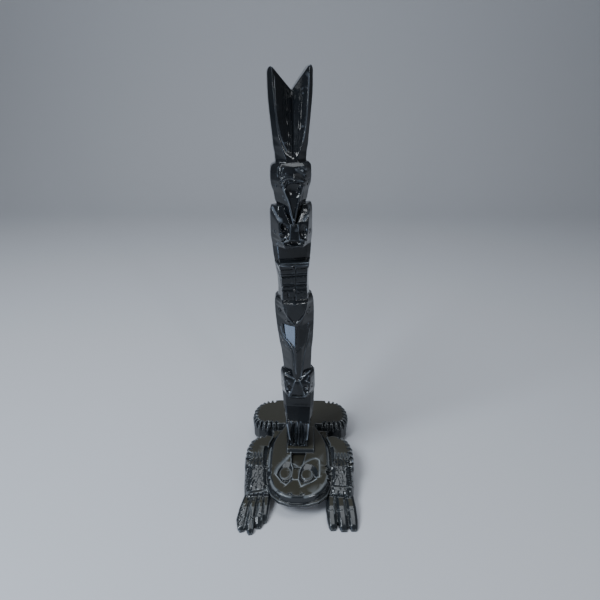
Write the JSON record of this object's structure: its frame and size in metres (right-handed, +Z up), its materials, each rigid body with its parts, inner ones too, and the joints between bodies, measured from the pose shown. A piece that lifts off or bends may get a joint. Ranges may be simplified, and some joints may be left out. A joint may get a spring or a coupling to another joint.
{
  "type": "totem pole carving",
  "caption": "Small carved totem pole in black lacquered wood: stacked bird and bear-like figures standing on the back of a crouching creature with spread front paws.",
  "frame": {"origin": "centre of the outline's box on the surface that the creature lies on", "axes": "+Z up along the pole, -Y towards the front, where the figures and the creature look, +X to the viewer's right"},
  "size_m": [0.1166, 0.1684, 0.3928],
  "materials": {
    "pole_lacquer": "black gloss lacquer over carved wood",
    "base_lacquer": "black satin lacquer over carved wood, brownish on the upward faces"
  },
  "bodies": {
    "root": {"totem_pole": "pole_lacquer", "creature_base": "base_lacquer"}
  },
  "joints": []
}
